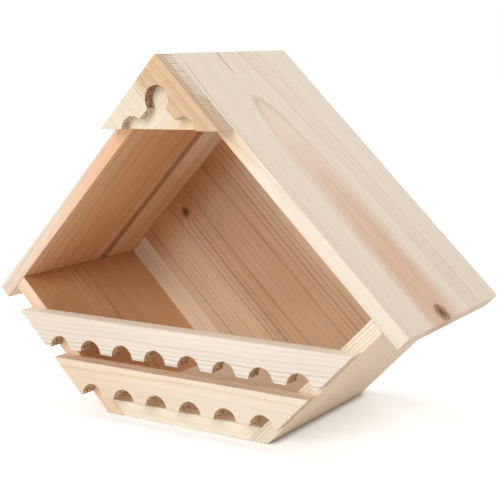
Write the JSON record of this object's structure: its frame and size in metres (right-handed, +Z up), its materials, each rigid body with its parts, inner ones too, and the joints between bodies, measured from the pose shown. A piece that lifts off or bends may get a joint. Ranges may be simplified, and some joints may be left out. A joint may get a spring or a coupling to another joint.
{
  "type": "dove nest box",
  "caption": "Open-fronted dove nest box of plain pine boards: a square tube set on its corner with a flat foot, trefoil-cut gable and scalloped boards across the front.",
  "frame": {"origin": "centre of the bounding box on the level the box stands on", "axes": "+X to the right seen from the front, -Y out of the open front, +Z up"},
  "size_m": [0.4748, 0.215, 0.353],
  "materials": {
    "roof_pine": "bare planed pine",
    "side_pine": "bare planed pine",
    "floor_pine": "bare planed pine",
    "back_pine": "bare planed pine",
    "gable_backing_pine": "bare planed pine",
    "gable_pine": "bare planed pine",
    "rail_pine": "bare planed pine",
    "lower_pine": "bare planed pine"
  },
  "bodies": {
    "root": {"roof_left_front": "roof_pine", "roof_left_back": "roof_pine", "roof_right": "roof_pine", "side_left": "side_pine", "side_right": "side_pine", "floor_board": "floor_pine", "back_upper": "back_pine", "back_lower": "back_pine", "gable_backing": "gable_backing_pine", "gable_front": "gable_pine", "upper_rail": "rail_pine", "lower_board": "lower_pine"}
  },
  "joints": []
}
